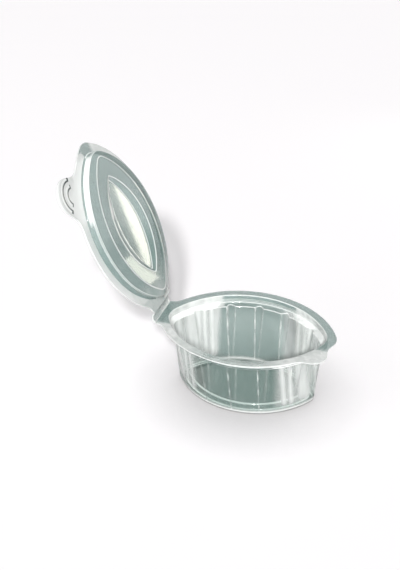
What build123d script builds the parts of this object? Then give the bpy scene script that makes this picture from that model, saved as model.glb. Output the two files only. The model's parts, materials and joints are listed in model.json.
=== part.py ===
"""Sauce cup with a hinged lid, formed from one clear sheet.

The foot rests on z = 0 and the cup's middle is the origin. The hinge is on the -X side and the
lid stands open above it. The thumb tabs are on the -Y side, near the tip opposite the hinge.
"""
from math import cos, radians, sin, sqrt, tan
import os

from build123d import *

# Sheet and main sizes, in millimetres
SHEET = 0.4
CUP_HEIGHT = 31.2
LID_OPEN_ANGLE = 114.0

# Pointed oval outlines: half length, half width and tip radius
COLLAR = (33.0, 23.5, 9.0)
FLANGE_TIP = 8.0
FLANGE_END = 4.2
FLANGE_SIDE = 3.6
FLANGE = (COLLAR[0] + FLANGE_END, COLLAR[1] + FLANGE_SIDE, FLANGE_TIP)
LEDGE_INNER = (31.4, 21.0, 4.5)
FOOT = (29.3, 17.7, 3.6)

# Collar, ledge and foot heights
LEDGE_DEPTH = 3.7
LEDGE_DROP = 0.6
SNAP_UNDERCUT = 0.35
SNAP_BAND = 0.8
FOOT_ROUND = 1.5
PUNT_EDGE = (26.6, 15.5, 3.0)
PUNT_PANEL = (24.9, 14.5, 2.6)
PUNT_HEIGHT = 2.8

# Flutes that run down the wall
FLUTE_PITCH = 12.0
FLUTE_RADIUS = 1.6
FLUTE_FOOT_RADIUS = 0.8
FLUTE_FOOT_HEIGHT = 2.4
FLUTES_EACH_WAY = 2

# Hinge between the two flanges
HINGE_REACH = 3.45
CREASE = COLLAR[0] + HINGE_REACH
HINGE_HALF_WIDTH = 9.0
HINGE_RISE = 4.3
HINGE_BULGE = 0.9
HINGE_NOTCH = 0.9
CLOSED_GAP = 0.3

# Small pull tab on the cup's flange
CUP_TAB_CENTRE = (29.6, -11.6)
CUP_TAB_RADIUS = 6.0
CUP_TAB_BLEND = 2.0

# Lid: plug, shelf, panel and raised pocket
PLUG_CLEARANCE = 0.4
PLUG_DEPTH = 3.2
PLUG_BEAD = 0.15
PLUG_BEAD_HEIGHT = 0.8
PANEL_DEPTH = 4.2
PANEL = (30.2, 17.5, 4.0)
POCKET_EDGE = (21.8, 12.0, 1.2)
POCKET_FLOOR = (20.2, 8.9, 0.8)
POCKET_DEPTH = 1.2

# Thumb tab on the lid with two curved ribs
LID_TAB_CENTRE = (24.5, -23.6)
LID_TAB_RADIUS = 7.1
LID_TAB_BLEND = 5.5
RIB_CENTRE = (23.5, -21.6)
RIB_RADII = (5.9, 3.4)
RIB_START_ANGLE = -136.0
RIB_SWEEP_ANGLE = 152.0
RIB_WIDTH = 1.6
RIB_HEIGHT = 0.5


def grown(outline, amount):
    """The same outline with each of its three sizes larger by one amount."""
    return tuple(size + amount for size in outline)


def side_arc(outline):
    """Radius of the long side arc and how far its centre lies from the middle line."""
    half_length, half_width, tip = outline
    reach = half_length - tip
    radius = (reach**2 + half_width**2 - tip**2) / (2 * (half_width - tip))
    return radius, half_width - radius


def side_at(outline, along):
    """Half width of the long side arc at a place along the length."""
    radius, centre = side_arc(outline)
    return centre + sqrt(radius**2 - along**2)


def oval(outline, height=0):
    """Face of a pointed oval made from two long arcs and two round tips."""
    half_length, half_width, tip = outline
    radius, centre = side_arc(outline)
    reach = half_length - tip
    join_x = radius * reach / (radius - tip)
    join_y = centre - radius * centre / (radius - tip)
    back = ThreePointArc((-join_x, join_y), (0, half_width), (join_x, join_y))
    right = ThreePointArc((join_x, join_y), (half_length, 0), (join_x, -join_y))
    front = ThreePointArc((join_x, -join_y), (0, -half_width), (-join_x, -join_y))
    left = ThreePointArc((-join_x, -join_y), (-half_length, 0), (-join_x, join_y))
    return Pos(0, 0, height) * make_face([back, right, front, left])


def stack(levels):
    """Solid through a column of oval outlines, each given with its height."""
    body = Part()
    for (lower, low), (upper, high) in zip(levels, levels[1:]):
        body += loft([oval(lower, low), oval(upper, high)], ruled=True)
    return body


def flange_face(tab_centre, tab_radius, blend):
    """Flat flange outline with its tab, its hollow corners rounded, cut square at the crease."""
    tab = Pos(*tab_centre) * Circle(tab_radius)
    tongue = Pos(-CREASE / 2, 0) * Rectangle(CREASE, 2 * HINGE_HALF_WIDTH)
    wide = offset(oval(FLANGE) + tab + tongue, blend, kind=Kind.ARC)
    face = offset(wide, -blend, kind=Kind.ARC)
    beyond = Pos(-CREASE - FLANGE[0] / 2, 0) * Rectangle(FLANGE[0], 2 * FLANGE[0])
    return face - beyond


# Cup
def cup_skin(outward):
    """Solid inside one skin of the cup; the outer skin lies one sheet outside the inner one."""
    ledge = CUP_HEIGHT - LEDGE_DEPTH - outward
    wall_top = ledge - LEDGE_DROP
    pocket = grown(COLLAR, SNAP_UNDERCUT + outward)
    levels = [
        (grown(FOOT, outward), SHEET - outward),
        (grown(LEDGE_INNER, outward), wall_top),
        (pocket, ledge),
        (pocket, ledge + SNAP_BAND),
        (grown(COLLAR, outward), ledge + 2 * SNAP_BAND),
        (grown(COLLAR, outward), CUP_HEIGHT),
    ]
    body = stack(levels)
    rim = body.edges().group_by(Axis.Z)[0]
    body = fillet(rim, FOOT_ROUND + outward)
    for side in (-1, 1):
        for place in range(-FLUTES_EACH_WAY, FLUTES_EACH_WAY + 1):
            body += flute(place * FLUTE_PITCH, side, outward, wall_top)
    inward = SHEET - outward
    punt = stack([
        (grown(PUNT_EDGE, inward), -SHEET),
        (grown(PUNT_EDGE, inward), inward),
        (grown(PUNT_PANEL, inward), PUNT_HEIGHT + inward),
    ])
    return body - punt


def flute(along, side, outward, wall_top):
    """One tapered flute: a slim cone laid down the wall."""
    foot_share = FOOT[0] / LEDGE_INNER[0]
    low_along = along * foot_share
    low_width = side_at(FOOT, low_along) - FLUTE_FOOT_RADIUS
    low = Vector(low_along, side * low_width, FLUTE_FOOT_HEIGHT)
    high = Vector(along, side * side_at(LEDGE_INNER, along), wall_top + LEDGE_DROP)
    run = high - low
    cone = Cone(FLUTE_FOOT_RADIUS + outward, FLUTE_RADIUS + outward, run.length,
                align=(Align.CENTER, Align.CENTER, Align.MIN))
    return Plane(origin=low, z_dir=run) * cone


def make_cup():
    flange = extrude(flange_face(CUP_TAB_CENTRE, CUP_TAB_RADIUS, CUP_TAB_BLEND), SHEET)
    body = Pos(0, 0, CUP_HEIGHT - SHEET) * flange + cup_skin(SHEET)
    return body - cup_skin(0)


# Lid, drawn as it lies when closed with the underside of its flange on z = 0
def lid_skin(inward):
    """Solid inside one skin of the lid's plug, reaching down from the flange."""
    wall = grown(COLLAR, -PLUG_CLEARANCE - inward)
    bead = grown(wall, PLUG_BEAD)
    panel = grown(PANEL, -inward)
    levels = [
        (panel, inward - PANEL_DEPTH),
        (wall, inward - PLUG_DEPTH),
        (bead, inward - PLUG_DEPTH + PLUG_BEAD_HEIGHT / 2),
        (wall, inward - PLUG_DEPTH + PLUG_BEAD_HEIGHT),
        (wall, SHEET),
    ]
    body = stack(levels)
    pocket = stack([
        (grown(POCKET_EDGE, inward), inward - 2 * PANEL_DEPTH),
        (grown(POCKET_EDGE, inward), inward - PANEL_DEPTH),
        (grown(POCKET_FLOOR, inward), inward - PANEL_DEPTH + POCKET_DEPTH),
    ])
    return body - pocket


def tab_rib(radius, width, height):
    """Upright solid over one curved rib of the thumb tab."""
    line = CenterArc((*RIB_CENTRE, 0), radius, RIB_START_ANGLE, RIB_SWEEP_ANGLE)
    return extrude(SlotArc(line, width), height)


def make_lid():
    flange = extrude(flange_face(LID_TAB_CENTRE, LID_TAB_RADIUS, LID_TAB_BLEND), SHEET)
    body = flange + lid_skin(0)
    body -= lid_skin(SHEET)
    for radius in RIB_RADII:
        body += tab_rib(radius, RIB_WIDTH, RIB_HEIGHT + SHEET)
        body -= tab_rib(radius, RIB_WIDTH - 2 * SHEET, RIB_HEIGHT)
    return body


# Hinge
def swing_axis():
    """Point in the XZ plane about which the lid swings between shut and open."""
    half_angle = radians(LID_OPEN_ANGLE / 2)
    half_rise = HINGE_RISE / 2
    return -CREASE - half_rise / tan(half_angle), CUP_HEIGHT + CLOSED_GAP + half_rise


def opened(shape):
    """Move a shape from the closed pose to the open one."""
    axis_x, axis_z = swing_axis()
    centre = Pos(axis_x, 0, axis_z)
    shut = Pos(-axis_x, 0, CUP_HEIGHT + CLOSED_GAP - axis_z)
    return centre * Rot(0, -LID_OPEN_ANGLE, 0) * shut * shape


def make_hinge():
    """Thin bowed strip that joins the two flange edges."""
    lean = radians(LID_OPEN_ANGLE)
    base = CUP_HEIGHT + CLOSED_GAP + HINGE_RISE
    inner = (-CREASE, base)
    outer = (-CREASE - SHEET * sin(lean), base + SHEET * cos(lean))
    top = (-CREASE, CUP_HEIGHT)
    under = (-CREASE, CUP_HEIGHT - SHEET)
    middle = (top[1] + inner[1]) / 2
    near = ThreePointArc(top, (-CREASE - HINGE_BULGE, middle), inner)
    lip = Line(inner, outer)
    far = ThreePointArc(outer, (-CREASE - HINGE_BULGE - SHEET, middle - SHEET / 2), under)
    edge = Line(under, top)
    section = make_face([near, lip, far, edge])
    strip = extrude(Plane.XZ * section, HINGE_HALF_WIDTH, both=True)
    notch = Pos(-CREASE - HINGE_BULGE - SHEET, 0, middle) * Box(
        2 * HINGE_NOTCH, HINGE_NOTCH, HINGE_RISE / 2)
    return strip - notch


os.makedirs("parts", exist_ok=True)
PIECES = {"cup": make_cup(), "lid": opened(make_lid()), "hinge": make_hinge()}
for name, piece in PIECES.items():
    export_step(piece, f"parts/{name}.step")
    print(name, len(piece.solids()), round(piece.volume), piece.bounding_box())
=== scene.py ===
# %% [markdown]
# # A clear sauce cup with its lid open
#
# A takeaway sauce cup is formed from one thin sheet of clear plastic: warm sheet is drawn into a
# mould, so every wall is about as thin as a fingernail and every bend is softly rounded. The packed
# model gives the exact sizes. In this scene the same sheet is drawn again with rounded bends, since
# it is the bends that catch the light and make a clear thing readable, and its material adds painted
# highlights along them.

import json
from math import asin, atan2, cos, exp, pi, radians, sin, sqrt

import bmesh
import bpy
from mathutils import Matrix, Vector


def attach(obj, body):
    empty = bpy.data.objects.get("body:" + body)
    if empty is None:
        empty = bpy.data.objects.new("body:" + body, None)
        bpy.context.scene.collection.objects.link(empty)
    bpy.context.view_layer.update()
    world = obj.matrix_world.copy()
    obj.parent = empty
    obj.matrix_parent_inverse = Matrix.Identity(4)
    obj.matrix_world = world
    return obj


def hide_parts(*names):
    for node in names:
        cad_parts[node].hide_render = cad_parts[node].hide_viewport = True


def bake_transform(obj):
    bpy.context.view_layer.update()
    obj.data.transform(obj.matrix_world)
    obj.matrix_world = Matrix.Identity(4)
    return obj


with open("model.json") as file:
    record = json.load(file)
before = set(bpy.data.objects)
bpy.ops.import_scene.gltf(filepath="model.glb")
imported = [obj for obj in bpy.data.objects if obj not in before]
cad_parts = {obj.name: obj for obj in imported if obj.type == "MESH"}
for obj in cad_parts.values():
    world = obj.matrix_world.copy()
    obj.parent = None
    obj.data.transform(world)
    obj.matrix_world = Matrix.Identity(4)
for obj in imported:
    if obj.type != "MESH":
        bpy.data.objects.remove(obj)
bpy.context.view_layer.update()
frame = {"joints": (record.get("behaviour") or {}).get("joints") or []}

# %% [markdown]
# ## Sizes
#
# Blender works in metres here, so the sheet and the outlines are written in millimetres and turned
# into metres by one value. Each pointed oval is a half length, a half width and a tip radius. An
# outline that follows another one, such as the plug that fits in the collar, is worked out from it.


# %% Name the main sizes
def grown(outline, amount):
    """The same outline with each of its three sizes larger by one amount."""
    return tuple(size + amount for size in outline)


MM = 0.001
SHEET = 0.4
CUP_HEIGHT = 31.2
CLOSED_GAP = 0.3
OPEN_ANGLE = radians(114.0)
COLLAR = (33.0, 23.5, 9.0)
FLANGE = (37.2, 27.1, 8.0)
LEDGE_INNER = (31.4, 21.0, 4.5)
FOOT = (29.3, 17.7, 3.6)
CREASE = COLLAR[0] + 3.45
HINGE_HALF_WIDTH = 9.0
HINGE_TOP = CUP_HEIGHT + CLOSED_GAP + 4.3
AXIS = Vector(frame["joints"][0]["pos_m"])
print("hinge axis at", [round(v / MM, 2) for v in AXIS], "mm")

# %% [markdown]
# ## Where an outline lies along a bearing
#
# Every level of the cup is a closed ring round the same middle, so a ring can be made as a plain
# circle whose points are each pushed out along their own bearing until they meet the outline. For
# a pointed oval that distance comes from the long side arc or from the round tip.


# %% Distance from the middle to a pointed oval
def oval_parts(outline):
    """How far out the tip's centre is, the side arc's radius, and its centre's place across."""
    half_length, half_width, tip = outline
    reach = half_length - tip
    radius = (reach**2 + half_width**2 - tip**2) / (2 * (half_width - tip))
    return reach, radius, half_width - radius


def oval_reach(outline, bearing):
    """How far the outline is from the middle in one direction."""
    tip_centre, radius, side_centre = oval_parts(outline)
    tip = outline[2]
    along, across = abs(cos(bearing)), abs(sin(bearing))
    toward = across * side_centre
    reach = toward + sqrt(toward**2 - side_centre**2 + radius**2)
    join = radius * tip_centre / (radius - tip)
    if reach * along > join:
        toward = along * tip_centre
        reach = toward + sqrt(max(toward**2 - tip_centre**2 + tip**2, 0))
    return reach


def bearing_of(place):
    return atan2(place[1], place[0])


def beyond(outline, point):
    """How far a point lies outside an outline, as seen from the middle; less than 0 inside it."""
    return point.xy.length - oval_reach(outline, bearing_of(point))


print("collar reach at the side and the tip:", oval_reach(COLLAR, pi / 2), oval_reach(COLLAR, 0))

# %% [markdown]
# The two flanges are ovals with a tab and a square tongue at the hinge. Where these meet, the real
# outline has soft hollow corners. A smooth union of distances gives exactly that: near a corner
# the distance is lowered a little, so that the outline swells and rounds the corner.

# %% Name the tabs
TONGUE_BLEND = 2.4
FARTHEST_TAB = 26.0
SEARCH_STEP = 0.25
HALVINGS = 12

# Each tab is its centre, its radius and the size of the hollow corners beside it
CUP_TAB = ((29.6, -11.6), 6.0, 3.0)
LID_TAB = ((24.5, -23.6), 7.1, 8.0)
print("tabs of radius", CUP_TAB[1], "and", LID_TAB[1], "mm")


# %% Flange outline with its tab and tongue
def oval_distance(outline, x, y):
    tip_centre, radius, side_centre = oval_parts(outline)
    x, y = abs(x), abs(y)
    if atan2(y, x - tip_centre) < atan2(-side_centre, tip_centre):
        return sqrt((x - tip_centre) ** 2 + y**2) - outline[2]
    return sqrt(x**2 + (y - side_centre) ** 2) - radius


def tongue_distance(x, y):
    dx = abs(x + CREASE / 2) - CREASE
    dy = abs(y) - HINGE_HALF_WIDTH
    outside = sqrt(max(dx, 0) ** 2 + max(dy, 0) ** 2)
    return outside + min(max(dx, dy), 0)


def smooth_union(one, other, blend):
    share = max(blend - abs(one - other), 0) / blend
    return min(one, other) - share**2 * blend / 4


def flange_reach(bearing, tab_centre, tab_radius, blend):
    """Outermost place on the flange's rim along a bearing, cut off at the hinge crease."""
    along, across = cos(bearing), sin(bearing)

    def inside(reach):
        x, y = reach * along, reach * across
        tab = sqrt((x - tab_centre[0]) ** 2 + (y - tab_centre[1]) ** 2) - tab_radius
        body = smooth_union(oval_distance(FLANGE, x, y), tab, blend)
        return smooth_union(body, tongue_distance(x, y), TONGUE_BLEND) <= 0

    low = oval_reach(FLANGE, bearing)
    high = low + FARTHEST_TAB
    while high > low and not inside(high):
        high -= SEARCH_STEP
    low, high = high, high + SEARCH_STEP
    for _ in range(HALVINGS):
        middle = (low + high) / 2
        low, high = (middle, high) if inside(middle) else (low, middle)
    if along < 0:
        low = min(low, CREASE / -along)
    return low


print("lid tab reaches", round(flange_reach(bearing_of(LID_TAB[0]), *LID_TAB), 2), "mm")

# %% [markdown]
# A ring of evenly spaced points would be coarse just where the tabs and flutes need detail. So the
# bearings are crowded near the tabs, the flutes and the two ends, and stay wide apart elsewhere.
# Two of them are moved on to the corners at the hinge.

# %% Name how the points are crowded
SLICES = 7200
CUP_POINTS = 560
LID_POINTS = 440
FLUTE_PITCH = 12.0
FLUTES = [index * FLUTE_PITCH for index in (-2, -1, 0, 1, 2)]

# Each is how far the crowding spreads, as an angle, and how many more points there are
TAB_CROWD = (0.07, 3.0)
END_CROWD = (0.12, 1.0)
FLUTE_CROWD = (0.09, 1.6)
print("flutes stand at", FLUTES, "mm along the wall")


# %% Bearings of the ring's points
def crowded_bearings(count, busy_places):
    """Bearings round the whole turn, closer together near each busy place."""

    def density(bearing):
        total = 1.0
        for place, spread, weight in busy_places:
            gap = (bearing - place + pi) % (2 * pi) - pi
            total += weight * exp(-((gap / spread) ** 2))
        return total

    slice_angle = 2 * pi / SLICES
    sums = [0.0]
    for step in range(SLICES):
        sums.append(sums[-1] + density((step + 0.5) * slice_angle))
    bearings, at = [], 0
    for index in range(count):
        want = sums[-1] * index / count
        while sums[at + 1] < want:
            at += 1
        bearings.append((at + (want - sums[at]) / (sums[at + 1] - sums[at])) * slice_angle)
    return bearings


def sheet_bearings(tab, count, flute_places=()):
    """Bearings for one flange, with two of them moved on to the corners at the hinge."""
    (tab_x, tab_y), tab_radius, _ = tab
    tab_bearing = atan2(tab_y, tab_x)
    wide = asin(tab_radius / sqrt(tab_x**2 + tab_y**2))
    busy = [(tab_bearing - wide, *TAB_CROWD), (tab_bearing + wide, *TAB_CROWD)]
    busy += [(0.0, *END_CROWD), (pi, *END_CROWD)]
    _, side_radius, side_centre = oval_parts(LEDGE_INNER)
    for place in flute_places:
        width = side_centre + sqrt(side_radius**2 - place**2)
        busy += [(atan2(side * width, place), *FLUTE_CROWD) for side in (1, -1)]
    bearings = crowded_bearings(count, busy)
    corner = atan2(HINGE_HALF_WIDTH, -CREASE)
    for turn_to in (corner, 2 * pi - corner):
        nearest = min(range(count), key=lambda i: abs(bearings[i] - turn_to))
        bearings[nearest] = turn_to
    return bearings


cup_bearings = sheet_bearings(CUP_TAB, CUP_POINTS, FLUTES)
lid_bearings = sheet_bearings(LID_TAB, LID_POINTS)
print(len(cup_bearings), "and", len(lid_bearings), "points in a ring")

# %% [markdown]
# ## From a column of rings to a formed sheet
#
# The sheet is drawn as a column of rings: the rim first, then each bend down to the base. In the
# mould no bend is sharp, so each bend ring is replaced by a few rings on a small curve that leaves
# one slope and joins the next. One more ring just outside each end of the curve keeps the shading
# of the flat parts flat. Then one circle is made, moved on to the first ring, and its edges are
# extruded to each ring after it. Solidify gives the sheet its thickness at the end.

# %% Name how bends are drawn
BEND_STEPS = 4
GUARD_GAP = 0.12
LEAST_LENGTH = 1e-9
LIP_SHARE = 0.2

# A curve, and the ring outside it, take at most these shares of the slope beside it
CURVE_SHARE = 0.40
GUARD_SHARE = 0.47
print("each rounded bend becomes", BEND_STEPS + 3, "rings")


# %% Rings and rounded bends
def ring(reach_of, height, bearings):
    points = []
    for bearing in bearings:
        reach = reach_of(bearing)
        points.append(Vector((reach * cos(bearing), reach * sin(bearing), height)))
    return points


def oval_ring(outline, height, bearings):
    return ring(lambda bearing: oval_reach(outline, bearing), height, bearings)


def between(ring_a, ring_b, share):
    return [a.lerp(b, share) for a, b in zip(ring_a, ring_b)]


def round_bends(column):
    """Pairs of a ring and the strength of its painted highlight, from pairs of a ring and its bend's
    radius.
    """
    rings = [(column[0][0], 0.0)]
    for (before, _), (bend, radius), (after, _) in zip(column, column[1:], column[2:]):
        if not radius:
            rings.append((bend, 0.0))
            continue
        for step in range(-1, BEND_STEPS + 2):
            t = min(max(step / BEND_STEPS, 0), 1)
            on_curve = 0 <= step <= BEND_STEPS
            reach, most = (radius, CURVE_SHARE) if on_curve else (radius + GUARD_GAP, GUARD_SHARE)
            curve = []
            for a, b, c in zip(before, bend, after):
                back, on = a - b, c - b
                start = b + back * min(reach / max(back.length, LEAST_LENGTH), most)
                end = b + on * min(reach / max(on.length, LEAST_LENGTH), most)
                curve.append(start * (1 - t) ** 2 + b * (2 * t * (1 - t)) + end * t**2)
            rings.append((curve, (4 * t * (1 - t)) ** 2))
    rings.append((column[-1][0], 0.0))
    return rings


print("a ring round the foot has", len(oval_ring(FOOT, SHEET, cup_bearings)), "points")

# %% [markdown]
# Three values are stored on each vertex for the material to read. Bend is a painted highlight: white
# painted along each bend and each bright line, where real bends would catch the light. The second is
# painted light, a whitish tone that stands in for mirrored light and lifts places in shade, and thin
# is how much clearer the sheet is made.


# %% Extrude a sheet along its rings
def sheet_layers(bm):
    return [bm.verts.layers.float.new(name) for name in ("bend", "painted_light", "thin")]


def extrude_loop(bm, loop, edges):
    """Extrude a closed line of edges once; its new vertices come in the order of the old ones."""
    made = bmesh.ops.extrude_edge_only(bm, edges=edges)["geom"]
    fresh = {item for item in made if isinstance(item, bmesh.types.BMVert)}
    partner = {}
    for vert in fresh:
        for edge in vert.link_edges:
            other = edge.other_vert(vert)
            if other not in fresh:
                partner[other] = vert
    lines = [item for item in made if isinstance(item, bmesh.types.BMEdge)]
    return [partner[vert] for vert in loop], [edge for edge in lines if fresh.issuperset(edge.verts)]


def draw_sheet(rings, line_at, painted_light_at, thin_at):
    """One skin through all the rings, closed by a flat face inside the last one."""
    bm = bmesh.new()
    bend, painted_light, thin = sheet_layers(bm)

    def settle(verts, places, whites):
        """Move one ring's vertices to their places and store the three values there."""
        for vert, place, white in zip(verts, places, whites):
            vert.co = place * MM
            vert[bend] = white
            vert[painted_light] = painted_light_at(place)
            vert[thin] = thin_at(place)

    rim = rings[0][0]
    lip = between(rim, rings[1][0], LIP_SHARE)
    bmesh.ops.create_circle(bm, cap_ends=False, radius=1.0, segments=len(rim))
    loop, edges = list(bm.verts), list(bm.edges)
    # The outer rim is painted fully white, a painted highlight along its edge.
    settle(loop, rim, [1.0] * len(rim))
    for points, amount in [(lip, 0.0), *rings[1:]]:
        loop, edges = extrude_loop(bm, loop, edges)
        settle(loop, points, [line_at(place, amount) for place in points])
    bmesh.ops.contextual_create(bm, geom=edges)
    bmesh.ops.recalc_face_normals(bm, faces=bm.faces)
    return bm


print("helpers for a sheet are ready")


# %% Turn a finished bmesh into a piece
def into_scene(name, data):
    """A new object for a mesh, a lamp or a camera."""
    item = bpy.data.objects.new(name, data)
    bpy.context.scene.collection.objects.link(item)
    return item


def piece_from(bm, name):
    mesh = bpy.data.meshes.new(name)
    bm.to_mesh(mesh)
    bm.free()
    return into_scene(name, mesh)


def sheet_piece(bm, name):
    """A smooth piece whose thickness lies behind its faces."""
    for face in bm.faces:
        face.smooth = True
    piece = piece_from(bm, name)
    thick = piece.modifiers.new("Sheet", "SOLIDIFY")
    thick.thickness = SHEET * MM
    thick.offset = -1
    print(name, "has", len(piece.data.polygons), "faces before its thickness")
    return piece


def face_upward(bm, upward):
    """Turn the faces so that the flange's look up, or down where upward is less than 0."""
    rim = max(bm.faces, key=lambda face: face.calc_center_median().xy.length)
    if rim.normal.z * upward < 0:
        bmesh.ops.reverse_faces(bm, faces=bm.faces)


print("helpers for pieces are ready")


# %% Shape values that fade and thin lines
def smooth(value, low, high):
    """0 below the low value, 1 above the high one, with a soft start and end between them."""
    share = min(max((value - low) / (high - low), 0.0), 1.0)
    return share * share * (3 - 2 * share)


def fine_line(distance, width):
    """1 on a line, falling to nothing a little more than its width away."""
    return exp(-((distance / width) ** 2))


print("a fine line falls to", round(fine_line(2.0, 1.0), 3), "two widths away")

# %% [markdown]
# ## The cup
#
# From the rim inwards: a flat flange, a short upright collar with a shallow undercut for the lid's
# bead, a ledge, a fluted wall that leans in, a rounded foot, and a raised panel in the base. The
# flutes are half-round channels that stiffen the wall. They are widest at the ledge and run out
# just above the foot, so each wall ring is pushed outwards near a flute by less and less.

# %% Name the cup's sizes
LEDGE = CUP_HEIGHT - 3.7
LEDGE_DROP = 0.6
WALL_TOP = LEDGE - LEDGE_DROP
SNAP_BAND = 0.8
SNAP_POCKET = grown(COLLAR, 0.35)
PUNT_EDGE = (27.0, 15.9, 3.4)
PUNT_PANEL = (25.3, 14.9, 3.0)
PUNT_INNER = (24.0, 13.8, 2.5)
PUNT_TOP = SHEET + 2.8
print("ledge at", LEDGE, "mm, top of the wall at", WALL_TOP, "mm")

# %% Name the flutes and the cup's bends
WALL_STEPS = 12
FLUTE_DEPTH = 1.6
FLUTE_HALF_FOOT = 0.8
FLUTE_HALF_TOP = 1.8
FLUTE_TIP_FADE = 6.0
FLUTE_START_SHARE = 0.1
INNER_RIM_INSET = 1.2
FLANGE_INSETS = (1.5, 1.8)
RIM_SHARES = (0.15, 0.3, 0.45, 0.6, 0.8)
BASE_SHARES = (0.97, 0.8, 0.6, 0.1)
COLLAR_BEND = 0.55
SNAP_BEND = 0.3
LEDGE_BEND = 0.45
FOOT_BEND = 1.4
PUNT_BEND = 1.0
print("the foot is rounded by", FOOT_BEND, "mm")


# %% Flutes in the wall
def flute_gap(x, share):
    """Distance to the nearest flute's middle and that flute's half width."""
    spread = 1 - (1 - FOOT[0] / LEDGE_INNER[0]) * (1 - share)
    gap = min(abs(x - place * spread) for place in FLUTES)
    return gap, FLUTE_HALF_FOOT + (FLUTE_HALF_TOP - FLUTE_HALF_FOOT) * share


def flute_push(x, share):
    """Outward push at a place along the wall; share is 0 at the foot and 1 at the ledge."""
    gap, half = flute_gap(x, share)
    return cos(min(gap / half, 1) * pi / 2) * FLUTE_DEPTH * share


def fluted(points, share):
    pushed = []
    for point in points:
        flat = Vector((point.x, point.y, 0)).normalized()
        tips = min(abs(point.y) / FLUTE_TIP_FADE, 1.0)
        pushed.append(point + flat * flute_push(point.x, share) * tips)
    return pushed


print("a flute stands out", FLUTE_DEPTH, "mm at the ledge")

# %% [markdown]
# In the photograph the cup is drawn by its white lines, which are painted highlights here: one along
# the near rim, a round one on the pull tab, one round the foot, and a pair beside each flute,
# brighter on the side that the light comes from. The ledge and the wall are painted whitish towards
# the pointed ends, with upright streaks, as painted light.

# %% Name the cup's painted highlight lines
# Heights closer than this are taken as one
TOUCH = 0.01
RIM_LINE_INSET = 1.5
RIM_LINE_WIDTH = 0.2
RIM_LINE_SHARE = 0.7
RIM_LINE_FADE = (4.0, 10.0)
PULL_LINE_RADIUS = 4.0
PULL_LINE_WIDTH = 0.5
PULL_LINE_FADE = (-1.2, -0.4)
FOOT_LINE_HEIGHT = 1.5
FOOT_LINE_WIDTH = 0.7
FOOT_INNER_INSET = 0.4
FLUTE_LINE_WIDTH = 0.34
FLUTE_DARK_SHARE = 0.6
FLUTE_LOW_SHARE = 0.7
FLUTE_LINE_FADE = (0.2, 0.8)
FLUTE_STEP = 0.1
FLUTE_WAVE = 0.8
print("lines from", RIM_LINE_WIDTH, "to", FOOT_LINE_WIDTH, "mm wide")

# %% Name the cup's painted light and thinness
LEDGE_BAND = (WALL_TOP - 0.3, LEDGE + SNAP_BAND / 2)
FLANGE_DEPTH = 0.3
NEAR_FLANGE = (6.0, 12.0)
FLANGE_ENDS = (8.0, 26.0)
LEDGE_ENDS = (14.0, 19.0)
WALL_ENDS = (15.0, 19.0)
WALL_FOOT = (1.0, 6.0)
THIN_ENDS = (14.0, 18.5)
THIN_SLANT = 0.24
# How strong the painted light is at each place
NEAR_FLANGE_PAINTED_LIGHT, FLANGE_ENDS_PAINTED_LIGHT = 0.26, 0.6
LEDGE_PAINTED_LIGHT = 1.3
BASE_PAINTED_LIGHT = 0.14
NEAR_WALL_PAINTED_LIGHT, FAR_WALL_PAINTED_LIGHT = 0.7, 1.0
NEAR_FLANGE_THIN = 0.5
BASE_THIN, NEAR_WALL_THIN, FAR_WALL_THIN = 0.65, 0.75, 0.4

# The streaks' strength, how close they are, how unevenly they are spaced, and their lean
STREAK_SHARE, STREAK_PITCH, STREAK_DRIFT, STREAK_DRIFT_PITCH, STREAK_LEAN = 0.25, 1.7, 1.5, 0.6, 0.1
print("the ledge's haze lies between", LEDGE_BAND, "mm")


# %% Painted highlight lines on the cup
def flange_highlights(point):
    """A painted highlight along the near rim, and a round one on the pull tab."""
    outside = beyond(FLANGE, point)
    near = smooth(-point.y, *RIM_LINE_FADE)
    rim_highlight = near * RIM_LINE_SHARE * fine_line(-outside - RIM_LINE_INSET, RIM_LINE_WIDTH)
    from_tab = (point.xy - Vector(CUP_TAB[0])).length
    pull_highlight = fine_line(from_tab - PULL_LINE_RADIUS, PULL_LINE_WIDTH)
    return max(rim_highlight, smooth(outside, *PULL_LINE_FADE) * pull_highlight)


def flute_highlights(point, share):
    """Painted highlights on the two edges of a flute, brighter on the lit side, fainter low down, and a
    little uneven.
    """
    gap, half = flute_gap(point.x, share)
    lit = 1.0 if flute_gap(point.x - FLUTE_STEP, share)[0] > gap else FLUTE_DARK_SHARE
    rest = 1 - FLUTE_LOW_SHARE
    edge = lit * fine_line(gap - half, FLUTE_LINE_WIDTH)
    edge *= FLUTE_LOW_SHARE + rest * smooth(share, *FLUTE_LINE_FADE)
    return edge * (FLUTE_LOW_SHARE + rest * sin(FLUTE_WAVE * point.z + point.x))


def cup_line(point, bend):
    """The bend's painted highlight, or more where one of the cup's painted highlight lines runs."""
    if point.z > CUP_HEIGHT - TOUCH and not bend:
        return flange_highlights(point)
    share = (point.z - SHEET) / (WALL_TOP - SHEET)
    if beyond(FOOT, point) < -FOOT_INNER_INSET:
        return sqrt(bend)
    if not 0 < share < 1:
        return bend
    foot_highlight = fine_line(point.z - FOOT_LINE_HEIGHT, FOOT_LINE_WIDTH)
    return max(bend, foot_highlight, flute_highlights(point, share))


print("the cup's lines are ready")


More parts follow.
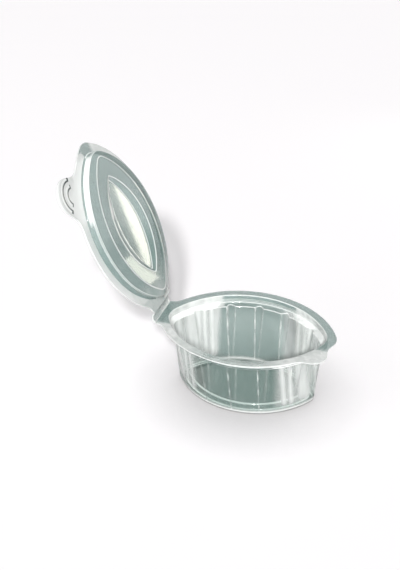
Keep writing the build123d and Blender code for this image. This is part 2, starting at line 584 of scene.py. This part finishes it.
# %% Painted light and thinness of the cup
def cup_painted_light(point):
    """Painted light: whitish on the near half of the flange, the base, and the ends of ledge and wall.
    """
    if point.z > CUP_HEIGHT - FLANGE_DEPTH:
        ends = smooth(abs(point.x), *FLANGE_ENDS)
        return smooth(-point.y, *NEAR_FLANGE) * (NEAR_FLANGE_PAINTED_LIGHT + FLANGE_ENDS_PAINTED_LIGHT * ends)
    if LEDGE_BAND[0] < point.z < LEDGE_BAND[1]:
        return LEDGE_PAINTED_LIGHT * smooth(abs(point.x), *LEDGE_ENDS)
    if beyond(PUNT_EDGE, point) < 0:
        return BASE_PAINTED_LIGHT
    drift = STREAK_DRIFT * sin(STREAK_DRIFT_PITCH * point.x)
    wave = sin(STREAK_PITCH * point.x + drift + STREAK_LEAN * point.z)
    streak = 1 - STREAK_SHARE + STREAK_SHARE * wave
    side = FAR_WALL_PAINTED_LIGHT if point.y > 0 else NEAR_WALL_PAINTED_LIGHT
    return side * streak * smooth(abs(point.x), *WALL_ENDS) * smooth(point.z, *WALL_FOOT)


def cup_thin(point):
    """The sheet is made clearer on the near side and toward the pointed ends."""
    if point.z > LEDGE_BAND[1]:
        return NEAR_FLANGE_THIN * smooth(-point.y, *NEAR_FLANGE)
    middle = FAR_WALL_THIN if point.y > 0 else NEAR_WALL_THIN
    if beyond(PUNT_EDGE, point) < 0:
        middle = BASE_THIN
    return middle + (1 - middle) * smooth(abs(point.x + THIN_SLANT * point.y), *THIN_ENDS)


print("haze is", NEAR_FLANGE_PAINTED_LIGHT, "on the near flange and", BASE_PAINTED_LIGHT, "on the base")


# %% Shape the cup
def cup_column(bearings):
    """The cup's rings from the rim to the middle of the base, each with its bend's radius."""

    def level(outline, height, radius=0.0):
        return oval_ring(outline, height, bearings), radius

    rim = ring(lambda bearing: flange_reach(bearing, *CUP_TAB), CUP_HEIGHT, bearings)
    inner_rim = oval_ring(grown(FLANGE, -INNER_RIM_INSET), CUP_HEIGHT, bearings)
    plain_top = oval_ring(LEDGE_INNER, WALL_TOP, bearings)
    foot = oval_ring(FOOT, SHEET, bearings)
    wall = []
    for step in range(1, WALL_STEPS):
        share = 1 - step / WALL_STEPS
        depth_share = max(share - FLUTE_START_SHARE, 0) / (1 - FLUTE_START_SHARE)
        wall.append(fluted(between(plain_top, foot, step / WALL_STEPS), depth_share))
    return [
        (rim, 0.0),
        *[(between(rim, inner_rim, share), 0.0) for share in RIM_SHARES],
        (inner_rim, 0.0),
        *[level(grown(FLANGE, -inset), CUP_HEIGHT) for inset in FLANGE_INSETS],
        level(COLLAR, CUP_HEIGHT, COLLAR_BEND),
        level(COLLAR, LEDGE + 2 * SNAP_BAND, SNAP_BEND),
        level(SNAP_POCKET, LEDGE + SNAP_BAND, SNAP_BEND),
        level(SNAP_POCKET, LEDGE, LEDGE_BEND),
        (fluted(plain_top, 1.0), LEDGE_BEND),
        *[(points, 0.0) for points in wall],
        (foot, FOOT_BEND),
        level(PUNT_EDGE, SHEET, PUNT_BEND),
        level(PUNT_PANEL, PUNT_TOP, PUNT_BEND),
        *[level([size * share for size in PUNT_INNER], PUNT_TOP) for share in BASE_SHARES],
    ]


cup_mesh = draw_sheet(round_bends(cup_column(cup_bearings)), cup_line, cup_painted_light, cup_thin)
face_upward(cup_mesh, 1)
cup = sheet_piece(cup_mesh, "cup_sheet")
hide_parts("cup")
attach(cup, "cup")

# %% [markdown]
# ## The lid
#
# The lid is the same kind of sheet. It is drawn as it lies when closed, with the side that faces
# the sauce first: the flange with its thumb tab, the plug wall with a bead that snaps into the
# collar, a sloping shelf, the panel, and a pointed pocket pressed the other way. Then the whole
# mesh is turned about the hinge's axis to the angle at which it stands open.

# %% Name the lid's sizes
PLUG = grown(COLLAR, -0.4)
BEAD = grown(PLUG, 0.15)
BEAD_HEIGHT = 0.8
PLUG_DEPTH = 3.2
PANEL = (30.2, 17.5, 4.0)
PANEL_DEPTH = 4.2
POCKET_EDGE = (21.8, 12.0, 1.2)
POCKET_FLOOR = (20.2, 8.9, 0.8)
POCKET_MIDDLE = (16.0, 6.0, 0.6)
POCKET_DEPTH = 1.2
POCKET_LEAN = 0.075
PLUG_BEND = 0.55
BEAD_BEND = 0.2
SHELF_BEND = 0.3
PANEL_BEND = 0.5
print("the plug is", PLUG[0], "by", PLUG[1], "mm from its middle")

# %% Name the lid's painted lines
PLUG_TOP_NEAR = 3.0
PLUG_TOP_REACH = 0.6
FAR_LINE_INSETS = (1.15, 2.35)
FAR_LINE_WIDTH = 0.14
FAR_LINE_GAP = 0.25
FAR_LINE_SHARE = 0.75
NEAR_SIDE = (2.0, 6.0)
print("fine lines", FAR_LINE_INSETS, "mm inside the far rim")

# %% Name the lid's painted light
NEAR_RIM_PAINTED_LIGHT = 1.6
FAR_PAINTED_LIGHT, FAR_HINGE_PAINTED_LIGHT = 0.42, 1.2
HINGE_END_PAINTED_LIGHT = 0.2
POCKET_WALL_PAINTED_LIGHT = 1.3
PANEL_END_PAINTED_LIGHT = 0.15
TAB_CLEARING = 0.65
POCKET_WALL_INSET, POCKET_WALL_REACH = 1.0, 0.9

# Each is where a painted light starts or ends, along the lid unless it says otherwise
RIM_HINGE_FADE = (-34.0, -16.0)
RIM_TIP_FADE = (31.0, 36.0)
TAB_OUTWARD_FADE = (0.5, 3.0)
FAR_FADE = (-22.0, -8.0)
HINGE_END_FADE = (26.0, 32.0)
PLUG_FADE = (8.0, 24.0)
POCKET_TIP_FADE = (6.0, 12.0)
POCKET_ACROSS_FADE = (0.5, 2.0)
PANEL_END_FADE = (19.0, 28.0)
print("haze is", NEAR_RIM_PAINTED_LIGHT, "on the lid's thumb side")


# %% Painted lines on the lid
def at_plug_top(point):
    """Whether a place lies in the bend between the plug and the near side of the flange."""
    near_and_high = point.y < -PLUG_TOP_NEAR and point.z > -PLUG_TOP_REACH
    return near_and_high and abs(beyond(PLUG, point)) < PLUG_TOP_REACH


def lid_line(point, bend):
    """The bend's painted highlight, none at the plug's near side, and two fine painted lines on the far
    flange.
    """
    if point.z > -TOUCH and not bend:
        inset = -beyond(FLANGE, point)
        fine = max(fine_line(inset - middle, FAR_LINE_WIDTH) for middle in FAR_LINE_INSETS)
        return FAR_LINE_SHARE * fine * smooth(point.y, *NEAR_SIDE)
    return 0.0 if at_plug_top(point) else bend


print("a bend's own value is kept at the hinge:", lid_line(Vector((-CREASE, 0, 0)), 1.0))


# %% Painted light and thinness of the lid
def lid_flange_painted_light(point):
    """Painted light: whitish on the thumb side, less so on the tab itself, and whitish near the hinge
    behind.
    """
    x, y, _ = point
    rim = NEAR_RIM_PAINTED_LIGHT * smooth(-y, *NEAR_SIDE) * smooth(x, *RIM_HINGE_FADE)
    rim *= 1 - smooth(x, *RIM_TIP_FADE)
    rim *= 1 - TAB_CLEARING * smooth(beyond(FLANGE, point), *TAB_OUTWARD_FADE)
    far = smooth(y, *NEAR_SIDE) * (FAR_PAINTED_LIGHT + FAR_HINGE_PAINTED_LIGHT * (1 - smooth(x, *FAR_FADE)))
    return max(rim, far, HINGE_END_PAINTED_LIGHT * smooth(-x, *HINGE_END_FADE))


def lid_painted_light(point):
    """Painted light, a white tone on the flange, the plug's thumb side, the pocket's near wall and the
    hinge end.
    """
    x, y, z = point
    if at_plug_top(point):
        return 0.0
    if z > -FLANGE_DEPTH:
        return lid_flange_painted_light(point)
    if z > -PLUG_DEPTH:
        return NEAR_RIM_PAINTED_LIGHT * smooth(-y, *NEAR_SIDE) * smooth(x, *PLUG_FADE)
    if abs(beyond(POCKET_EDGE, point) + POCKET_WALL_INSET) < POCKET_WALL_REACH:
        return POCKET_WALL_PAINTED_LIGHT * smooth(-y, *POCKET_ACROSS_FADE) * smooth(x, *POCKET_TIP_FADE)
    return PANEL_END_PAINTED_LIGHT * smooth(-x, *PANEL_END_FADE)


def lid_thin(point):
    """The lid is shallow, so it is drawn out nowhere."""
    return 0.0


print("haze at the lid's tip and at its hinge:", [lid_painted_light(Vector((x, 0, 0))) for x in (36, -36)])


# %% Shape the lid
def leaning(points):
    """The pocket's floor leans a little, since it sagged to one side while it was warm."""
    return [point + Vector((0, 0, POCKET_LEAN * point.y)) for point in points]


def lid_column(bearings):
    """The lid's rings from the rim to the middle of the pocket, each with its bend's radius."""

    def level(outline, height, radius=0.0):
        return oval_ring(outline, height, bearings), radius

    line_insets = [middle + side * FAR_LINE_GAP for middle in FAR_LINE_INSETS for side in (-1, 0, 1)]
    pocket_height = POCKET_DEPTH - PANEL_DEPTH
    return [
        (ring(lambda bearing: flange_reach(bearing, *LID_TAB), 0, bearings), 0.0),
        *[level(grown(FLANGE, -inset), 0) for inset in line_insets],
        level(PLUG, 0, PLUG_BEND),
        level(PLUG, BEAD_HEIGHT - PLUG_DEPTH, BEAD_BEND),
        level(BEAD, BEAD_HEIGHT / 2 - PLUG_DEPTH, BEAD_BEND),
        level(PLUG, -PLUG_DEPTH, SHELF_BEND),
        level(PANEL, -PANEL_DEPTH, PANEL_BEND),
        level(POCKET_EDGE, -PANEL_DEPTH, PANEL_BEND),
        (leaning(oval_ring(POCKET_FLOOR, pocket_height, bearings)), PANEL_BEND),
        (leaning(oval_ring(POCKET_MIDDLE, pocket_height, bearings)), 0.0),
    ]


lid_mesh = draw_sheet(round_bends(lid_column(lid_bearings)), lid_line, lid_painted_light, lid_thin)
shut_height = (CUP_HEIGHT + CLOSED_GAP) * MM
bmesh.ops.translate(lid_mesh, vec=(0, 0, shut_height), verts=lid_mesh.verts)
face_upward(lid_mesh, -1)
lid = sheet_piece(lid_mesh, "lid_sheet")
turn = Matrix.Translation(AXIS) @ Matrix.Rotation(-OPEN_ANGLE, 4, "Y") @ Matrix.Translation(-AXIS)
lid.data.transform(turn)
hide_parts("lid")
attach(lid, "lid")

# %% [markdown]
# ## Ribs on the thumb tab
#
# Two curved ribs give the thumb some grip. Each has a flat top and steep sides, so its section is
# drawn as four points and spun round the ribs' centre. A second strip, hardly raised, is spun on the
# flange's other face, where the rib shows too. The ribs carry painted light, a whitish tone, and
# their inner side and ends get a darker material, a painted shade.

# %% Name the ribs' sizes
RIB_CENTRE = Vector((23.75, -21.2, 0)) * MM
RIB_START = radians(-134)
RIB_SWEEP = radians(148)
RIB_STEPS = 37
RIB_RADII = {"outer": 6.1, "inner": 3.3}
RIB_HEIGHT = 0.5
INSIDE_HEIGHT = -0.08
RIB_PAINTED_LIGHT = 1.6
PAINTED_SHADE_REACH = 0.71
PAINTED_SHADE_END = radians(7)

# Places across the rib, from its radius outwards
RIB_OUTER_FOOT = 1.2
RIB_INNER_FOOT = -0.35
RIB_TOP = (0.8, 0.2)
INSIDE_TOP = (1.0, 0.35)
print("ribs of radius", list(RIB_RADII.values()), "mm")


# %% Spin the ribs
def rib_section(radius, top, height):
    """Four places across and up: the outer foot, the two ends of the top, and the inner foot."""
    places = (RIB_OUTER_FOOT, *top, RIB_INNER_FOOT)
    return [(radius + place, up) for place, up in zip(places, (0.0, height, height, 0.0))]


def spin_section(bm, section, foot):
    """Draw the section where the rib starts, and spin it round the ribs' centre."""
    line = []
    for across, height in section:
        place = Vector((across * cos(RIB_START), across * sin(RIB_START), foot + height))
        line += bmesh.ops.create_vert(bm, co=RIB_CENTRE + place * MM)["vert"]
    edges = [bm.edges.new(pair) for pair in zip(line, line[1:])]
    bmesh.ops.spin(bm, geom=line + edges, cent=RIB_CENTRE, axis=(0, 0, 1), angle=RIB_SWEEP,
                   steps=RIB_STEPS, use_merge=False, dvec=(0, 0, 0))
    bmesh.ops.recalc_face_normals(bm, faces=bm.faces)


def rib(name, section, foot):
    """One strip of a rib on the flange's face, painted whitish as painted light; its inner side and its
    ends get the painted shade.
    """
    bm = bmesh.new()
    painted_light = bm.verts.layers.float.new("painted_light")
    spin_section(bm, section, foot)
    inner = section[-1][0] + PAINTED_SHADE_REACH
    for face in bm.faces:
        middle = face.calc_center_median() - RIB_CENTRE
        turned = (bearing_of(middle) - RIB_START) % (2 * pi)
        at_end = min(turned, RIB_SWEEP - turned) < PAINTED_SHADE_END
        face.material_index = 1 if at_end or middle.xy.length / MM < inner else 0
        face.smooth = False
    for vert in bm.verts:
        vert[painted_light] = RIB_PAINTED_LIGHT
    bmesh.ops.translate(bm, vec=(0, 0, shut_height), verts=bm.verts)
    bmesh.ops.transform(bm, matrix=turn, verts=bm.verts)
    piece = piece_from(bm, name)
    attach(piece, "lid")
    return piece


ribs = []
for place, radius in RIB_RADII.items():
    inside = rib_section(radius, INSIDE_TOP, INSIDE_HEIGHT)
    ribs.append(rib("thumb_rib_" + place + "_inside", inside, 0.0))
    ribs.append(rib("thumb_rib_" + place, rib_section(radius, RIB_TOP, RIB_HEIGHT), SHEET))
print(len(ribs), "pieces for", len(RIB_RADII), "ribs")

# %% [markdown]
# ## The living hinge
#
# A thin bowed strip joins the two flanges and bends each time the lid is used. One edge line is
# spun about a quarter turn to make the bow, which rises from the cup's crease and turns smoothly up
# to its top. Painted highlights make it white at both creases, at its two sides and along one fold
# in its middle, and painted light makes one half of it whitish.

# %% Name the hinge's sizes
HINGE_BOW = 0.9
HINGE_CUTS = 47
HINGE_STEPS = 14
CREASE_FADE = (0.7, 0.2)
SIDE_FADE = (1.2, 0.4)
FOLD_FADE = (0.2, 0.7)
FOLD_SHARE = 0.9
HINGE_PAINTED_LIGHT = 0.3
HINGE_THIN = 0.5
print("hinge strip:", 2 * HINGE_HALF_WIDTH, "by", round(HINGE_TOP - CUP_HEIGHT, 2), "mm")


# %% Bow the hinge strip
def hinge_mesh():
    half = (HINGE_TOP - CUP_HEIGHT) / 2
    radius = (half**2 + HINGE_BOW**2) / (2 * HINGE_BOW)
    centre = Vector((-CREASE - HINGE_BOW + radius, 0, CUP_HEIGHT + half)) * MM
    bm = bmesh.new()
    corners = [Vector((-CREASE, side * HINGE_HALF_WIDTH, CUP_HEIGHT)) * MM for side in (-1, 1)]
    line = bm.edges.new([bm.verts.new(corner) for corner in corners])
    bmesh.ops.subdivide_edges(bm, edges=[line], cuts=HINGE_CUTS)
    bmesh.ops.spin(bm, geom=bm.verts[:] + bm.edges[:], cent=centre, axis=(0, 1, 0),
                   angle=2 * asin(half / radius), steps=HINGE_STEPS, dvec=(0, 0, 0))
    print("hinge bow radius", round(radius, 2), "mm")
    return bm


def paint_hinge_highlights(bm):
    """Store the three values that the material reads: painted highlights at the creases, the sides and
    the middle fold, and painted light on one half.
    """
    bend, painted_light, thin = sheet_layers(bm)
    half = (HINGE_TOP - CUP_HEIGHT) / 2
    for vert in bm.verts:
        across, height = abs(vert.co.y) / MM, abs(vert.co.z / MM - CUP_HEIGHT - half)
        crease = smooth(height, *(half - size for size in CREASE_FADE))
        side = smooth(across, *(HINGE_HALF_WIDTH - size for size in SIDE_FADE))
        fold = FOLD_SHARE * (1 - smooth(across, *FOLD_FADE))
        vert[bend] = max(crease, side, fold)
        vert[painted_light] = HINGE_PAINTED_LIGHT * smooth(vert.co.y / MM, -0.5, 1.0)
        vert[thin] = HINGE_THIN


film_mesh = hinge_mesh()
paint_hinge_highlights(film_mesh)
bmesh.ops.recalc_face_normals(film_mesh, faces=film_mesh.faces)
if sum(face.normal.x for face in film_mesh.faces) < 0:
    bmesh.ops.reverse_faces(film_mesh, faces=film_mesh.faces)
film = sheet_piece(film_mesh, "hinge_film")
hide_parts("hinge")
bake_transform(film)

# %% [markdown]
# ## Clear plastic
#
# Clear sheet hardly has a colour of its own: it shows what is behind it through a faint grey-green
# tint, mirrors the lamps, and looks more solid where the eye looks along it. A see-through shader and
# a glossy one are mixed, and the mix leans to the glossy one at grazing angles, along the painted
# highlights of the bends and where painted light whitens the sheet. Faint waves from forming bend the
# mirrored lamps.
#
# Most nodes need a few values and a few links, so one helper places a node and feeds its inputs,
# and the others name the kinds of node that are used again and again.


# %% Helpers for shader nodes
def feed(tree, node, inputs):
    """Give inputs their values; a value is a plain one or the output of another node."""
    for socket, value in inputs.items():
        if isinstance(value, bpy.types.NodeSocket):
            tree.links.new(value, node.inputs[socket])
        else:
            node.inputs[socket].default_value = value


def add_node(tree, kind, inputs):
    node = tree.nodes.new("ShaderNode" + kind)
    feed(tree, node, inputs)
    return node


def maths(tree, operation, *values, clamp=False):
    node = add_node(tree, "Math", dict(enumerate(values)))
    node.operation = operation
    node.use_clamp = clamp
    return node.outputs[0]


def remap(tree, value, low, high, start=0.0, end=1.0):
    """Turn values from start to end into values from low to high."""
    sizes = {"From Min": start, "From Max": end, "To Min": low, "To Max": high}
    return add_node(tree, "MapRange", {"Value": value, **sizes}).outputs["Result"]


def noise(tree, place, scale, detail=2.0):
    return add_node(tree, "TexNoise", {"Vector": place, "Scale": scale, "Detail": detail}).outputs["Fac"]


def ramp(tree, value, dark, pale, pale_at=1.0):
    """A colour between two, which is wholly the pale one from one value on."""
    node = add_node(tree, "ValToRGB", {"Fac": value})
    first, last = node.color_ramp.elements
    first.color, last.color = dark, pale
    last.position = pale_at
    return node.outputs["Color"]


def stored(tree, name):
    """A value that the sheet's vertices carry."""
    node = add_node(tree, "Attribute", {})
    node.attribute_name = name
    return node.outputs["Fac"]


def new_material(name):
    material = bpy.data.materials.new(name)
    material.use_nodes = True
    return material


print("helpers for materials are ready")

# %% Name the plastic's colours and densities
WHITE = (1, 1, 1, 1)
SEEN_THROUGH = (0.962, 0.985, 0.975, 1)
GREY_GREEN = (0.105, 0.215, 0.195, 1)
PAINTED_LIGHT_WHITE = (0.78, 0.80, 0.785, 1)
PAINTED_LIGHT_WHITE_AT = 0.8
PAINTED_LIGHT_STRENGTH = 1.7
GRAIN_SCALE = 1400.0
GRAIN = 0.06
WAVE_SCALE = 55.0
WAVE_STRENGTH, WAVE_HEIGHT = 0.06, 0.0006
PLAIN_DENSITY, WHITE_DENSITY = 0.42, 0.9
GRAZING_BLEND = 0.3
GRAZING_DENSITY = 0.3
THINNEST_SHARE = 0.04
SHADOW_DENSITY = 0.12
STREAK_SCALE = 160.0
STREAK_DETAIL = 3.0
STREAK_STRETCH = (1.0, 1.0, 0.12)
STREAK_NOISE = (0.32, 0.62)
STREAK_RANGE = (0.6, 1.1)
print("density from", PLAIN_DENSITY, "where flat to", WHITE_DENSITY, "where white")


# %% A node group for what the sheet shows
def sheet_group():
    """Colour, density and ripple height from the place, the bend's painted highlight and the painted
    light.
    """
    group = bpy.data.node_groups.new("formed sheet", "ShaderNodeTree")
    add_socket = group.interface.new_socket
    add_socket("Place", in_out="INPUT", socket_type="NodeSocketVector")
    add_socket("Bend", in_out="INPUT", socket_type="NodeSocketFloat")
    add_socket("Painted Light", in_out="INPUT", socket_type="NodeSocketFloat")
    add_socket("Colour", in_out="OUTPUT", socket_type="NodeSocketColor")
    add_socket("Density", in_out="OUTPUT", socket_type="NodeSocketFloat")
    add_socket("Ripple", in_out="OUTPUT", socket_type="NodeSocketFloat")
    source = group.nodes.new("NodeGroupInput").outputs
    sink = group.nodes.new("NodeGroupOutput")

    # Painted white where the bends' painted highlights and the painted light lie, with a fine grain
    speck = remap(group, noise(group, source["Place"], GRAIN_SCALE), -GRAIN, GRAIN)
    whiter = maths(group, "MAXIMUM", source["Bend"], source["Painted Light"])
    white = maths(group, "ADD", whiter, speck, clamp=True)
    painted_tone = maths(group, "MULTIPLY_ADD", source["Painted Light"], PAINTED_LIGHT_STRENGTH, white, clamp=True)
    feed(group, sink, {
        "Colour": ramp(group, painted_tone, GREY_GREEN, PAINTED_LIGHT_WHITE, PAINTED_LIGHT_WHITE_AT),
        "Density": remap(group, white, PLAIN_DENSITY, WHITE_DENSITY),
        "Ripple": noise(group, source["Place"], WAVE_SCALE),
    })
    return group


sheet = sheet_group()
print("sockets:", [item.name for item in sheet.interface.items_tree])


# %% Parts of the clear sheet's material
def streaked_painted_light(tree, place):
    """The stored painted light, broken up by upright streaks."""
    stretch = add_node(tree, "Mapping", {"Vector": place, "Scale": STREAK_STRETCH})
    streaks = noise(tree, stretch.outputs["Vector"], STREAK_SCALE, STREAK_DETAIL)
    strength = remap(tree, streaks, *STREAK_RANGE, *STREAK_NOISE)
    return maths(tree, "MULTIPLY", stored(tree, "painted_light"), strength)


def glossy_skin(tree, looks):
    bump = {"Strength": WAVE_STRENGTH, "Distance": WAVE_HEIGHT, "Height": looks["Ripple"]}
    return add_node(tree, "BsdfPrincipled", {
        "Base Color": looks["Colour"],
        "Roughness": 0.08,
        "IOR": 1.57,
        "Specular IOR Level": 0.4,
        "Coat Weight": 1.0,
        "Coat IOR": 1.45,
        "Coat Roughness": 0.04,
        "Normal": add_node(tree, "Bump", bump).outputs["Normal"],
    }).outputs["BSDF"]


def sheet_cover(tree, looks, bend, painted_light):
    """How much of the glossy skin shows; a shadow ray meets a little of it everywhere."""
    facing = add_node(tree, "LayerWeight", {"Blend": GRAZING_BLEND}).outputs["Facing"]
    density = looks["Density"]
    edge = maths(tree, "MULTIPLY_ADD", facing, GRAZING_DENSITY, density, clamp=True)
    clearer = remap(tree, stored(tree, "thin"), 1.0, THINNEST_SHARE)
    solid = maths(tree, "MAXIMUM", maths(tree, "MAXIMUM", bend, painted_light), clearer)
    cover = maths(tree, "MULTIPLY", edge, solid)
    shadow_ray = add_node(tree, "LightPath", {}).outputs["Is Shadow Ray"]
    return maths(tree, "MAXIMUM", cover, maths(tree, "MULTIPLY", shadow_ray, SHADOW_DENSITY))


print("a shadow ray meets at least", SHADOW_DENSITY, "of the sheet")


# %% Make the clear sheet's material
def clear_sheet():
    """See-through tint mixed with a glossy skin."""
    material = new_material("clear_sheet")
    tree = material.node_tree
    tree.nodes.clear()
    place = add_node(tree, "TexCoord", {}).outputs["Object"]
    bend, painted_light = stored(tree, "bend"), streaked_painted_light(tree, place)
    group = tree.nodes.new("ShaderNodeGroup")
    group.node_tree = sheet
    feed(tree, group, {"Place": place, "Bend": bend, "Painted Light": painted_light})
    looks = group.outputs
    see = add_node(tree, "BsdfTransparent", {"Color": SEEN_THROUGH}).outputs["BSDF"]
    cover = sheet_cover(tree, looks, bend, painted_light)
    mix = add_node(tree, "MixShader", {0: cover, 1: see, 2: glossy_skin(tree, looks)})
    add_node(tree, "OutputMaterial", {"Surface": mix.outputs["Shader"]})
    return material


def rib_painted_shade():
    """Painted shade: a dark grey for the steep sides and ends of the ribs."""
    material = new_material("rib_painted_shade")
    tree = material.node_tree
    grain = noise(tree, add_node(tree, "TexCoord", {}).outputs["Object"], 900.0)
    grey = ramp(tree, grain, (0.05, 0.06, 0.06, 1), (0.12, 0.14, 0.14, 1))
    feed(tree, tree.nodes["Principled BSDF"], {"Roughness": 0.15, "Base Color": grey})
    return material


clear, painted_shade = clear_sheet(), rib_painted_shade()
for piece in (cup, film, lid, *ribs):
    piece.data.materials.append(clear)
for piece in ribs:
    piece.data.materials.append(painted_shade)
print("material on", 3 + len(ribs), "pieces")

# %% [markdown]
# ## Floor and world
#
# The floor is pale and wide. It is darker close to the cup, where little of the room's light comes
# in, and an Ambient Occlusion node gives that shade. The camera sees the floor lifted a little
# towards white. The world is white where the camera sees it or the plastic mirrors it, and lights
# the scene only faintly, so that the lamps can draw the shapes.

# %% Name the floor's values
FLOOR_HALF = 3.0
FLOOR_PALE = (0.9, 0.88, 0.895, 1)
FLOOR_DARK = (0.2, 0.19, 0.19, 1)
CONTACT_REACH = 0.034
CONTACT_FROM, CONTACT_TO = 0.15, 0.97
FLOOR_LIFT = 0.135
WORLD_LIGHT = 0.09
print("floor of", 2 * FLOOR_HALF, "by", 2 * FLOOR_HALF, "m")


# %% Floor and world
def floor_material():
    material = new_material("pale_floor")
    tree = material.node_tree
    contact = add_node(tree, "AmbientOcclusion", {"Distance": CONTACT_REACH}).outputs["AO"]
    open_share = remap(tree, contact, 0.0, 1.0, CONTACT_FROM, CONTACT_TO)
    shade = add_node(tree, "MixRGB", {"Fac": open_share, "Color1": FLOOR_DARK, "Color2": FLOOR_PALE})
    seen = add_node(tree, "LightPath", {}).outputs["Is Camera Ray"]
    feed(tree, tree.nodes["Principled BSDF"], {
        "Base Color": shade.outputs["Color"],
        "Roughness": 0.9,
        "Specular IOR Level": 0.0,
        "Emission Color": WHITE,
        "Emission Strength": maths(tree, "MULTIPLY", seen, FLOOR_LIFT),
    })
    return material


def white_world():
    world = bpy.data.worlds.new("studio")
    world.use_nodes = True
    tree = world.node_tree
    path = add_node(tree, "LightPath", {}).outputs
    seen = path["Is Camera Ray"]
    for kind in ("Is Glossy Ray", "Is Transmission Ray"):
        seen = maths(tree, "MAXIMUM", seen, path[kind])
    strength = remap(tree, seen, WORLD_LIGHT, 1.0)
    feed(tree, tree.nodes["Background"], {"Color": WHITE, "Strength": strength})
    return world


floor_grid = bmesh.new()
bmesh.ops.create_grid(floor_grid, x_segments=1, y_segments=1, size=FLOOR_HALF)
floor = piece_from(floor_grid, "floor")
floor.data.materials.append(floor_material())
bpy.context.scene.world = white_world()
print("floor and world are ready")

# %% [markdown]
# ## Lamps
#
# Two lamps as far away as the sun stand a little above the camera, one just to its left and one
# just to its right. Their light is even over the whole floor, and their shadows fall behind the cup
# with soft edges. One small window on the left adds a faint light from the side. Two slim warm
# cards behind the cup can't be seen by the camera. The lid mirrors one in its pocket and the other
# in its panel.


# %% Kinds of lamp
def aimed_window(name, place, aim, size, power):
    data = bpy.data.lights.new(name, "AREA")
    data.size = size
    data.energy = power
    lamp = into_scene(name, data)
    lamp.location = place
    lamp.rotation_euler = (Vector(aim) - Vector(place)).to_track_quat("-Z", "Y").to_euler()


def far_lamp(name, azimuth, elevation, strength, spread):
    """Lamp so far away that it lights the whole floor evenly; spread softens its shadows."""
    data = bpy.data.lights.new(name, "SUN")
    data.energy = strength
    data.angle = radians(spread)
    into_scene(name, data).rotation_euler = (radians(90 - elevation), 0, radians(azimuth))


def upright(place, right, up, back):
    """Matrix that puts an object at a place with its three axes turned to the given ones."""
    return Matrix.Translation(place) @ Matrix((right, up, back)).transposed().to_4x4()


def card(name, corner_a, corner_b, width, radiance):
    """Slim bright card behind the cup whose long edge runs from one place to the other."""
    a, b = Vector(corner_a), Vector(corner_b)
    long_edge = b - a
    middle = (a + b) / 2
    data = bpy.data.lights.new(name, "AREA")
    data.shape = "RECTANGLE"
    data.size, data.size_y = width, long_edge.length
    data.energy = radiance * pi * width * long_edge.length
    data.color = CARD_COLOUR
    lamp = into_scene(name, data)
    tall = long_edge.normalized()
    side = tall.cross((middle - Vector(CARD_AIM)).normalized()).normalized()
    lamp.matrix_world = upright(middle, side, tall, side.cross(tall))
    lamp.visible_camera = False


# %% Set the lamps, in metres and degrees
CARD_COLOUR = (1.0, 0.97, 0.83)
CARD_AIM = (-0.05, 0, 0.07)
FAR_SPREAD = 4.5
FAR_STRENGTH = 2.2
aimed_window("side window", (-0.50, -0.42, 0.55), (0, 0, 0.02), 0.3, 0.6)
far_lamp("front left", 14.0, 34.8, FAR_STRENGTH, FAR_SPREAD)
far_lamp("front right", 22.0, 37.5, FAR_STRENGTH, FAR_SPREAD)
card("strip for the pocket", (0.106, 0.35, 0.081), (0.150, 0.35, 0.002), 0.018, 7.4)
card("card for the panel", (0.240, 0.35, 0.010), (0.234, 0.35, 0.044), 0.020, 6.0)
print("lamps:", sorted(lamp.name for lamp in bpy.data.lights))

# %% [markdown]
# ## Camera
#
# The camera was fitted to the photograph: it looks down at the cup from the front right, turned a
# little about its own line of sight. Its place is given along its own three axes, so that each
# number moves the picture in one way only.

# %% Camera
AZIMUTH, ELEVATION, ROLL = radians(19.45), radians(31.02), radians(-1.4)
CAMERA_BACK, CAMERA_LEFT, CAMERA_UP = 335.66, 19.56, 43.5
FOCAL_PIXELS, PICTURE_PIXELS = 779.39, 570.0
SENSOR = 36.0
back = Vector((sin(AZIMUTH) * cos(ELEVATION), -cos(AZIMUTH) * cos(ELEVATION), sin(ELEVATION)))
right = Vector((cos(AZIMUTH), sin(AZIMUTH), 0))
up = back.cross(right)
right, up = cos(ROLL) * right + sin(ROLL) * up, -sin(ROLL) * right + cos(ROLL) * up
place = (back * CAMERA_BACK - right * CAMERA_LEFT + up * CAMERA_UP) * MM
data = bpy.data.cameras.new("camera")
data.sensor_fit = "AUTO"
data.sensor_width = SENSOR
data.lens = FOCAL_PIXELS * SENSOR / PICTURE_PIXELS
data.clip_start = 0.01
camera = into_scene("camera", data)
camera.matrix_world = upright(place, right, up, back)
bpy.context.scene.camera = camera
bpy.context.scene.view_settings.view_transform = "Standard"
print("camera at", [round(v, 3) for v in place])
